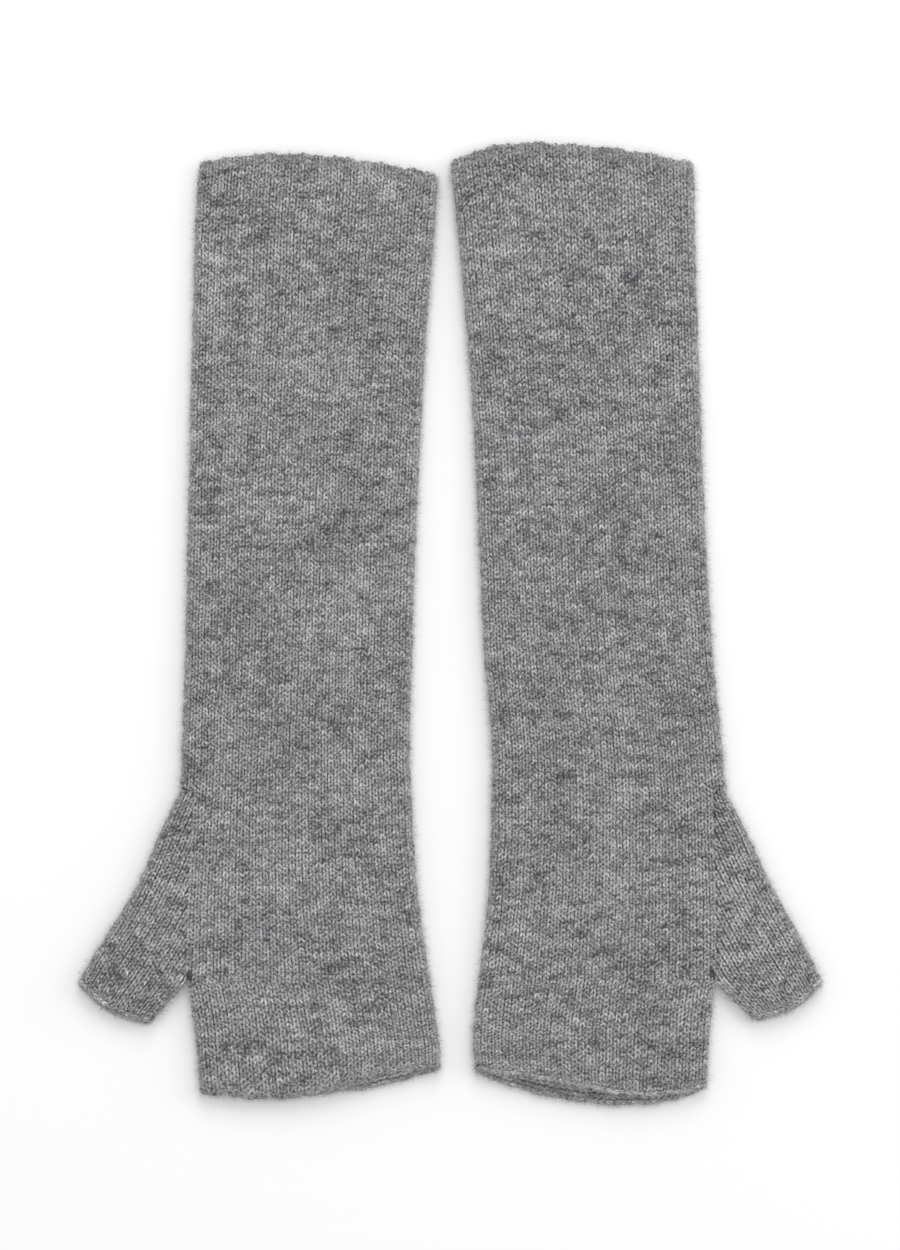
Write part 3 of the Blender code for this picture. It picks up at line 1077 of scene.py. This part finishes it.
def finish_tree(mesh, material):
    """Ends a tree: the table holds the result up, and it is shaded smooth and takes its material."""
    over_table = position(mesh.tree).maths("MAXIMUM", (-1.0, -1.0, LOWEST))
    mesh = add(mesh.tree, "GeometryNodeSetPosition", {"Geometry": mesh, "Position": over_table})[0]
    mesh = add(mesh.tree, "GeometryNodeSetShadeSmooth", {"Geometry": mesh})[0]
    mesh = add(mesh.tree, "GeometryNodeSetMaterial", {"Geometry": mesh, "Material": material})[0]
    add(mesh.tree, "NodeGroupOutput", {0: mesh})


def knit_tree():
    """Stitches set out on a plain grid of wales and courses, and then bent onto the guide."""
    tree, given = new_group("knit_on_cloth", "GeometryNodeTree", {
        "Guide": "Geometry", "Stitch": "Object", "Wales": "Int", "Courses": "Int", "First wale": "Float",
        "First course": "Float", "Stitch size": "Vector", "Waver": "Float", "Tilt": "Float",
        "Yarn start": "Float", "Seed": "Int", "Wool": "Material",
    }, {"Knit": "Geometry"})
    guide, wales, seed = given["Guide"], given["Wales"], given["Seed"]
    index = add(tree, "GeometryNodeInputIndex")[0]
    wale = index.maths("FLOORED_MODULO", wales)
    course = ((index + 0.5) / wales).maths("FLOOR")
    grid = combined(tree, X=wale + given["First wale"], Y=course + given["First course"])
    points = add(tree, "GeometryNodePoints", {"Count": wales * given["Courses"], "Position": grid})[0]

    place = position(tree)
    outside = on_guide(guide, attribute(tree, "inside"), place).maths("LESS_THAN", 0.001)
    points = add(tree, "GeometryNodeDeleteGeometry", {"Geometry": points, "Selection": outside})[0]
    points = keep(points, "centre", place)
    turn = random_vector((0.0, 0.0, -1.0), (0.0, 0.0, 1.0), seed) * given["Tilt"]
    turn = add(tree, "FunctionNodeEulerToRotation", {0: turn})[0]
    size = random_vector(SMALLEST_STITCH, LARGEST_STITCH, seed + 1.0) / given["Stitch size"]
    knit = set_out(points, given["Stitch"], turn, size)

    yarn = place * given["Stitch size"] * MM * (1.0, 1.0, 0.0) + combined(tree, Z=given["Yarn start"])
    height = parts_of(place)["Z"]
    knit = keep(keep(knit, "yarn", yarn), "rise", height)

    wander = add(tree, "ShaderNodeTexNoise", {"Vector": place, "Scale": WAVER_FINE, "Detail": 2.0})["Color"]
    moved = place + (wander - (0.5, 0.5, 0.5)) * given["Waver"]
    lies = on_guide(guide, place, moved)
    out = on_guide(guide, attribute(tree, "out", "FLOAT_VECTOR"), moved)
    rim = on_guide(guide, attribute(tree, "rim"), moved)
    swell = add(tree, "ShaderNodeTexNoise", {"Vector": moved, "Scale": SWELL_FINE, "Detail": 1.0})["Fac"]
    swell = add(tree, "ShaderNodeMapRange", {
        "Value": swell, "From Min": SWELL_FROM, "From Max": SWELL_TO, "To Min": 0.0, "To Max": RIM_SWELL,
    })[0]
    centre = attribute(tree, "centre", "FLOAT_VECTOR")
    jut = add(tree, "ShaderNodeTexWhiteNoise", {"Vector": centre}, noise_dimensions="3D")["Value"]
    thick = (height + (jut * JUT + swell * rim)) * MM
    knit = add(tree, "GeometryNodeSetPosition", {"Geometry": knit, "Position": lies + out * thick})[0]
    finish_tree(knit, given["Wool"])
    return tree


def fuzz_tree():
    """Loose fibres that stand out of the cloth, most of them along its folds and edges."""
    tree, given = new_group("fuzz_on_cloth", "GeometryNodeTree", {
        "Guide": "Geometry", "Fibre": "Object", "Face density": "Float", "Rim density": "Float",
        "Last course": "Float", "Shortest": "Float", "Longest": "Float", "Thickness": "Float", "Seed": "Int",
        "Wool": "Material",
    }, {"Fuzz": "Geometry"})
    seed = given["Seed"]
    stands = attribute(tree, "stands", "FLOAT_VECTOR")
    combed = add(tree, "ShaderNodeVectorMath", {0: stands}, operation="LENGTH")["Value"]
    stout = combed ** EDGE_STOUT
    density = attribute(tree, "rim") * stout * given["Rim density"] + given["Face density"]
    density = density * attribute(tree, "inside").maths("GREATER_THAN", 0.0)
    spread = add(tree, "GeometryNodeDistributePointsOnFaces", {
        "Mesh": given["Guide"], "Density": density, "Seed": seed,
    })["Points"]
    course = parts_of(attribute(tree, "knit", "FLOAT_VECTOR") * MAP_SPAN)["Y"]
    outside = course.maths("LESS_THAN", 0.0) + course.maths("GREATER_THAN", given["Last course"])
    points = add(tree, "GeometryNodeDeleteGeometry", {"Geometry": spread, "Selection": outside})[0]
    place = position(tree)
    points = keep(keep(points, "centre", place * (1 / MM)), "yarn", place)
    lean = random_vector((-FIBRE_LEAN, 0.0, -math.pi), (FIBRE_LEAN, 0.0, math.pi), seed)
    lean = add(tree, "FunctionNodeEulerToRotation", {0: lean})[0]
    stand = add(tree, "FunctionNodeAlignRotationToVector", {"Vector": stands}, axis="Z")[0]
    stand = add(tree, "FunctionNodeRotateRotation", {0: stand, 1: lean}, rotation_space="LOCAL")[0]
    chance = add(tree, "FunctionNodeRandomValue", {"Seed": seed}, data_type="FLOAT")[1]
    length = add(tree, "ShaderNodeMapRange", {
        "Value": chance ** FEW_LONG, "To Min": given["Shortest"], "To Max": given["Longest"],
    })[0]
    thick = given["Thickness"] * stout
    fuzz = set_out(points, given["Fibre"], stand, combined(tree, X=thick, Y=thick, Z=length / stout))
    finish_tree(fuzz, given["Wool"])
    return tree


def grow(tree, host, name, values):
    """Runs a tree on a copy of its host, and keeps the result as a plain piece."""
    maker = linked_object(name, host.data)
    modifier = maker.modifiers.new("nodes", "NODES")
    modifier.node_group = tree
    sockets = {s.name: s.identifier for s in tree.interface.items_tree if s.in_out == "INPUT"}
    for socket, value in values.items():
        modifier[sockets[socket]] = float(value) if isinstance(value, np.floating) else value
    return plain_copy(maker, name)


def face_outwards(piece):
    """Turns the stitches' faces over where a mirrored guide has turned them under."""
    if sum(face.normal.z * face.area for face in piece.data.polygons) < 0:
        piece.data.flip_normals()


def bake_map(piece, item):
    """Gives each repeated item its own cell of one even map, for the finish to be baked into."""
    mesh = piece.data
    corners = len(item.data.loops)
    items = len(mesh.loops) // corners
    side = math.ceil(math.sqrt(items))
    cell = np.zeros(len(mesh.loops) * 2, np.float32)
    mesh.attributes["cell"].data.foreach_get("vector", cell)
    number = np.repeat(np.arange(items), corners)
    corner = np.stack([number % side, number // side], 1)
    spots = (cell.reshape(-1, 2) + corner) / side
    mesh.attributes.remove(mesh.attributes["cell"])
    mesh.uv_layers.new(name="OFBake").data.foreach_set("uv", spots.astype(np.float32).ravel())


def open_quads(rings, first, either_end):
    """The quads that a tube leaves out round one fold, along the slit between body and thumb."""
    gone = set()
    for row, (ring, following) in enumerate(zip(rings, rings[1:])):
        if ring.slit or (either_end and following.slit):
            gone.update((row, quad) for quad in range(first, first + ROUND_FOLD))
    return gone


def ground_piece(name, rings, left_out, side, wools):
    """The ground of a tube: its outer surface lofted through the rings, given its thickness inwards."""
    count = len(rings[0].cover)
    quads = []
    for row in range(len(rings) - 1):
        for i in range(count):
            j = (i + 1) % count
            if (row, i) not in left_out:
                here, below = row * count, (row + 1) * count
                quads.append((here + i, below + i, below + j, here + j)[::side])
    mesh = bpy.data.meshes.new(name)
    mesh.from_pydata(to_world([r.places for r in rings], side).tolist(), [], quads)
    store(mesh, "cover", [r.cover for r in rings])
    store(mesh, "yarn", np.array([r.yarn for r in rings]) * MM, "FLOAT_VECTOR")
    shape = bmesh.new()
    shape.from_mesh(mesh)
    bmesh.ops.delete(shape, geom=[v for v in shape.verts if not v.link_faces], context="VERTS")
    shape.to_mesh(mesh)
    shape.free()
    mesh.materials.append(wools["ground"])
    mesh.materials.append(wools["inside"])
    mesh.shade_smooth()
    piece = linked_object("flat_ground", mesh)
    thickness = piece.modifiers.new("cloth", "SOLIDIFY")
    thickness.thickness = GROUND * MM
    thickness.offset = -1.0
    thickness.use_even_offset = True
    thickness.material_offset = 1
    return plain_copy(piece, name)


def cut(rounds, downs):
    """What a tube measures cut open and laid flat: its greatest width and its length, and its area."""
    means = (np.array(rounds[1:]) + np.array(rounds[:-1])) / 2
    area = float((means * np.diff(downs)).sum()) * MM * MM
    return (max(rounds) * MM, float(downs[-1] - downs[0]) * MM), area


def body_cut(warmer):
    rounds = [2 * (w.outer - w.inner - 2 * FOLD) + 2 * math.pi * FOLD for w in warmer.widths]
    return cut(rounds, [warmer.widths[0].height - w.height for w in warmer.widths])


def thumb_cut(warmer):
    courses, _ = thumb_courses(warmer)
    rounds = []
    for inner, outer, slit in thumb_rows(warmer):
        folds = 1 if slit else 2
        rounds.append(2 * ((outer - inner).length - folds * FOLD) + folds * math.pi * FOLD)
    return cut(rounds, courses[1:-1] * COURSE)


def noise(vector, detail, rough=0.5):
    inputs = {"Vector": vector, "Scale": 1.0, "Detail": detail, "Roughness": rough}
    return add(vector.tree, "ShaderNodeTexNoise", inputs)["Fac"]


def melange_group():
    """The mixed greys of the yarn: streaks along the courses, wide clouds, and a tone for each stitch."""
    tree, given = new_group("melange", "ShaderNodeTree", {
        "Yarn": "Vector", "Stitch": "Vector", "Dark": "Color", "Light": "Color",
    }, {"Color": "Color"})
    yarn = given["Yarn"]
    own = yarn * (0.0, 0.0, SHEETS_APART) + given["Stitch"]
    stitch = add(tree, "ShaderNodeTexWhiteNoise", {"Vector": own}, noise_dimensions="3D")["Value"]
    tone = (noise(own * ROWS, 1.0) - 0.5) * ROW_TONE
    tone = tone + (noise(yarn * STREAKS, 2.5, 0.6) - 0.5) * STREAK_TONE
    tone = tone + (noise(yarn * CLOUDS, 2.0) - 0.5) * CLOUD_TONE
    tone = tone + (noise(yarn * FLECKS, 1.0) - 0.5) * FLECK_TONE
    tone = tone + (stitch - 0.5) * STITCH_TONE
    tone = add(tree, "ShaderNodeClamp", {"Value": tone + 0.5})[0] ** DARKEST_LIGHTEST
    greys = {"Factor": tone, 6: given["Dark"], 7: given["Light"]}
    mixed = add(tree, "ShaderNodeMix", greys, data_type="RGBA")[2]
    tints = {"Factor": noise(yarn * TINTS, 1.0), 4: WARM_TINT, 5: COOL_TINT}
    tint = add(tree, "ShaderNodeMix", tints, data_type="VECTOR")[1]
    add(tree, "NodeGroupOutput", {"Color": mixed * tint})
    return tree


def relief_group():
    """Plain knit as a height, for sides that rest or lie hidden: the right side's legs, or the wrong side."""
    tree, given = new_group("knit_relief", "ShaderNodeTree", {
        "Yarn": "Vector", "Wrong side": "Float",
    }, {"Height": "Float"})
    parts = parts_of(given["Yarn"] / (WALE * MM, COURSE * MM, MM))
    across = (parts["X"].maths("FRACT") * 2.0 - 1.0).maths("ABSOLUTE")
    leg = ((parts["Y"] - across * DRAWN_SLANT).maths("FRACT") * math.pi).maths("SINE")
    right = leg ** 0.5 * (across * math.pi).maths("SINE") ** 0.5
    wave = (parts["X"] * (2 * math.pi)).maths("COSINE") * DRAWN_WAVE
    wrong = ((parts["Y"] + wave) * math.pi).maths("SINE").maths("ABSOLUTE")
    height = add(tree, "ShaderNodeMix", {0: given["Wrong side"], 2: right, 3: wrong})[0]
    add(tree, "NodeGroupOutput", {"Height": height})
    return tree


def kept_as(tree, name):
    """What a mesh keeps under a name."""
    return add(tree, "ShaderNodeAttribute", attribute_name=name)


def plain_material(name, values):
    """A new material and its shader, with the values that are the same all over."""
    material = bpy.data.materials.new(name)
    material.use_nodes = True
    shader = material.node_tree.nodes["Principled BSDF"]
    fill(shader, values)
    return material, shader


def wool(name, groups, colours, sheen, wrong_side=None, rises=False):
    """A wool finish. Cloth with a wrong side, from 0 to 1, has its stitches drawn on it in painted shade and
    bump.

    Yarn that rises in stitches is painted darker where it dips between them: painted shade in the gaps.
    """
    material, shader = plain_material(name, {
        "Roughness": 0.95, "Specular IOR Level": 0.2, "Sheen Weight": sheen, "Sheen Roughness": 0.5,
    })
    tree = material.node_tree
    yarn = kept_as(tree, "yarn")["Vector"]
    colour = add(tree, "ShaderNodeGroup", {
        "Yarn": yarn, "Stitch": kept_as(tree, "centre")["Vector"], "Dark": colours[0], "Light": colours[1],
    }, node_tree=groups["melange"])["Color"]
    nap = noise(add(tree, "ShaderNodeTexCoord")["Object"] / NAP, 2.0)
    fibres = {"Strength": NAP_BUMP, "Distance": NAP_DEPTH, "Height": nap}
    normal = add(tree, "ShaderNodeBump", fibres)["Normal"]
    colour = colour * (nap * NAP_CONTRAST + (1 - NAP_CONTRAST / 2))
    # Painted shade: the yarn is painted darker where it dips into the gaps between stitches
    if rises:
        colour = colour * add(tree, "ShaderNodeMapRange", {
            "Value": kept_as(tree, "rise")["Fac"], "From Min": STRAND_FOOT, "From Max": CROWN_AT,
            "To Min": PAINTED_DIP_SHADE, "To Max": 1.0,
        })[0]
    if wrong_side is not None:
        drawn = {"Yarn": yarn, "Wrong side": wrong_side}
        height = add(tree, "ShaderNodeGroup", drawn, node_tree=groups["relief"])["Height"]
        drawn = {"Strength": 1.0, "Distance": DRAWN_DEPTH, "Height": height, "Normal": normal}
        normal = add(tree, "ShaderNodeBump", drawn)["Normal"]
        # Painted shade: drawn stitches are darker where they lie low, as in their grooves
        shade = height * DRAWN_PAINTED_SHADE + DRAWN_PAINTED_SHADE
        # Painted shade: the ground is darker where stitches cover it, for the gaps between them
        if not wrong_side:
            covered = {0: kept_as(tree, "cover")["Fac"], 2: shade, 3: PAINTED_GAP_SHADE}
            shade = add(tree, "ShaderNodeMix", covered)[0]
        colour = colour * shade
    fill(shader, {"Base Color": colour, "Normal": normal})
    return material


def finishes():
    """The wool's finishes, by what they cover."""
    groups = {"melange": melange_group(), "relief": relief_group()}
    greys = (DARK_GREY, LIGHT_GREY)
    return {
        "stitches": wool("wool_stitches", groups, greys, 0.35, rises=True),
        "ground": wool("wool_ground", groups, greys, 0.25, wrong_side=0.0),
        "inside": wool("wool_inside", groups, greys, 0.25, wrong_side=1.0),
        # Painted light: a lighter copy of the wool, a painted highlight on the edges
        "edges": wool("wool_edges", groups, (LIT_EDGE_DARK, LIT_EDGE_LIGHT), 0.35, rises=True),
        # Painted light: a lighter copy, for the lower layer in the mouth's shade
        "lip": wool("wool_lip", groups, (LIT_LIP_DARK, LIT_LIP_LIGHT), 0.35),
        # Painted light: a lighter copy, for the light that the loose fibres catch
        "fuzz": wool("wool_fuzz", groups, (LIT_FUZZ_DARK, LIT_FUZZ_LIGHT), 0.6),
    }


class Sheet(NamedTuple):
    """A stretch of stitches: its guide, stitch and finish, and how many wales and courses, from which on."""

    name: str
    guide: str
    stitch: str
    finish: str
    wales: int
    courses: int
    first_wale: float
    first_course: float
    apart: float = 1.0  # above 1 it leaves gaps between the wales, as in cloth that is stretched across


def stretches(warmer):
    """The stretches of knit that show on one warmer."""
    half = WALES // 2 + 2
    # The lip and edges finishes are lighter copies of the wool: painted light for the mouths' edges and lower
    # layers
    edge, inside = ("stitches", "lip") if warmer.side < 0 else ("edges", "edges")
    thumb = thumb_courses(warmer)[0][-2]
    thumb_wales = math.ceil(THUMB_WALES) + 3
    return (
        Sheet("body_knit_inner", "body", "stitch", "stitches", half, COURSES - 1, -1.5, 0.5),
        Sheet("body_knit_outer", "body", "stitch", "stitches", half, COURSES - 1, half - 1.5, 0.5),
        Sheet("thumb_knit", "thumb", "stitch", "stitches", thumb_wales, int(thumb - 0.9), -1.5, 0.5, 1.045),
        Sheet("hand_edge", "body", "link", edge, 2 * half, 1, -1.5, COURSES - 0.5),
        Sheet("thumb_edge", "thumb", "link", "edges", thumb_wales, 1, -1.5, thumb - 0.5),
        Sheet("hand_inside", "hand_lip", "purl", inside, WALES + 1, 6, 0.5, COURSES - 6.5),
        Sheet("hand_edge_below", "hand_lip", "link", "edges", WALES + 1, 1, 0.5, COURSES - 0.5),
        Sheet("thumb_edge_below", "thumb_lip", "link", "edges", thumb_wales - 2, 1, 0.5, thumb - 0.5),
    )


def make_warmer(warmer, tools, wools):
    """All the pieces of one warmer: for its body and its thumb the ground, and what lies on each."""
    last_thumb = thumb_courses(warmer)[0][-2]
    guides = {
        "body": (body_guide(warmer), COURSES), "thumb": (thumb_guide(warmer), last_thumb),
        "hand_lip": (hand_lip_guide(warmer), COURSES), "thumb_lip": (thumb_lip_guide(warmer), last_thumb),
    }
    hosts = {name: guide_object(f"guide_{name}", guide, warmer.side) for name, (guide, _) in guides.items()}
    on_it = {"body": [], "thumb": []}
    for number, sheet in enumerate(stretches(warmer)):
        piece = grow(tools["knit"], hosts[sheet.guide], f"{warmer.name}_{sheet.name}", {
            "Stitch": tools[sheet.stitch], "Wales": sheet.wales, "Courses": sheet.courses,
            "First wale": sheet.first_wale, "First course": sheet.first_course,
            "Stitch size": (WALE * sheet.apart, COURSE, 1.0), "Waver": WAVER, "Tilt": TILT,
            "Yarn start": YARN_APART * (2 * list(hosts).index(sheet.guide) + warmer.side),
            "Seed": 10 * number + warmer.side, "Wool": wools[sheet.finish],
        })
        face_outwards(piece)
        bake_map(piece, tools[sheet.stitch])
        on_it["thumb" if sheet.name.startswith("thumb") else "body"].append(piece)
    for number, (part, (_, last_course)) in enumerate(guides.items()):
        piece = grow(tools["fuzz"], hosts[part], f"{warmer.name}_{part}_fuzz", {
            "Fibre": tools["fibre"], "Face density": FACE_FUZZ, "Rim density": RIM_FUZZ,
            "Last course": last_course, "Shortest": FIBRE_SHORTEST, "Longest": FIBRE_LONGEST,
            "Thickness": FIBRE_THICK, "Seed": 100 + 10 * number + warmer.side, "Wool": wools["fuzz"],
        })
        bake_map(piece, tools["fibre"])
        on_it["thumb" if part.startswith("thumb") else "body"].append(piece)
    for host in hosts.values():
        bpy.data.objects.remove(host)

    body, thumb = body_rings(warmer), thumb_rings(warmer)
    body_open = open_quads(body, BODY_ACROSS, either_end=True)
    thumb_open = open_quads(thumb, 2 * THUMB_ACROSS + ROUND_FOLD, either_end=False)
    for part, rings, left_out, (flat, area) in (
        ("body", body, body_open, body_cut(warmer)),
        ("thumb", thumb, thumb_open, thumb_cut(warmer)),
    ):
        ground = ground_piece(f"{warmer.name}_{part}_ground", rings, left_out, warmer.side, wools)
        for piece in (ground, *on_it[part]):
            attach(piece, "root")
            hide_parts(f"{warmer.name}_{part}")


def make_table():
    """The plain white surface that the pair lies on."""
    bpy.ops.mesh.primitive_plane_add(size=8.0, location=(0.0, 0.0, -0.0002))
    floor = bpy.context.object
    floor.name = "floor"
    white, _ = plain_material("white_paper", {
        "Base Color": PAPER, "Roughness": 0.9, "Specular IOR Level": 0.1,
    })
    floor.data.materials.append(white)


def make_light():
    """Large soft lamps that point at the pair, under an even sky."""
    world = bpy.data.worlds.new("studio")
    world.use_nodes = True
    fill(world.node_tree.nodes["Background"], {"Color": (1.0, 1.0, 1.0, 1.0), "Strength": SKY})
    bpy.context.scene.world = world
    for name, place, size, power in LAMPS:
        lamp = bpy.data.lights.new(name, "AREA")
        lamp.shape = "SQUARE"
        lamp.size = size
        lamp.energy = power
        holder = linked_object(name, lamp)
        holder.location = place
        holder.rotation_euler = (-Vector(place)).to_track_quat("-Z", "Y").to_euler()
    bpy.context.scene.view_settings.view_transform = "Standard"


def make_camera():
    """Straight above, as far away as makes the picture as tall as the photograph's at the cloth's height."""
    lens = bpy.data.cameras.new("camera")
    lens.lens = LENS
    lens.sensor_width = SENSOR
    camera = linked_object("camera", lens)
    distance = FRAME_TALL / SENSOR * LENS + 2 * WALL
    camera.location = ((SHIFT + np.array([-FRAME_LEFT, 0.0, distance])) * MM).tolist()
    bpy.context.scene.camera = camera


def main():
    make_camera()
    make_table()
    make_light()
    wools = finishes()
    tools = {
        "knit": knit_tree(),
        "fuzz": fuzz_tree(),
        "stitch": stitch_template("stitch", LEG, (-1, 1)),
        "link": stitch_template("link", LINK, (1, -1)),
        "purl": stitch_template("purl", PURL, (1, -1), WALE / 2),
        "fibre": fibre_template(),
    }
    for warmer in (LEFT, RIGHT):
        make_warmer(warmer, tools, wools)
    for name in ("stitch", "link", "purl", "fibre"):
        bpy.data.objects.remove(tools[name])


main()
